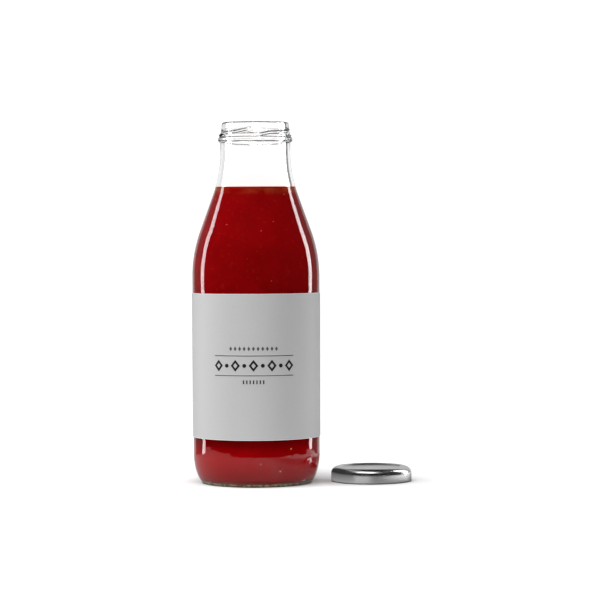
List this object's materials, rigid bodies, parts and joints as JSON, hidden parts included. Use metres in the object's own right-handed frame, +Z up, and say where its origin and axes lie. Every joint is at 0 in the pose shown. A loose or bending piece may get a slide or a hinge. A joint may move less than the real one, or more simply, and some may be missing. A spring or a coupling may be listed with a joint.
{
  "type": "passata bottle",
  "caption": "Open clear glass sauce bottle filled with red passata, with a plain wrap-round paper label and its twist-off metal lid lying beside it.",
  "frame": {"origin": "on the surface the part stands on, at the centre of the box round the bottle and its lid", "axes": "+X from the bottle towards its lid, +Y away from the viewer, +Z up along the bottle's axis"},
  "size_m": [0.1396, 0.0816, 0.2287],
  "materials": {
    "clear_glass": "clear, polished, mould marks at the heel",
    "tomato": null,
    "label_paper": "matt grey printed paper",
    "tinplate": "satin silver lacquered tinplate"
  },
  "bodies": {
    "root": {"bottle": "clear_glass", "passata": "tomato", "label": "label_paper", "lid": "tinplate"}
  },
  "joints": []
}
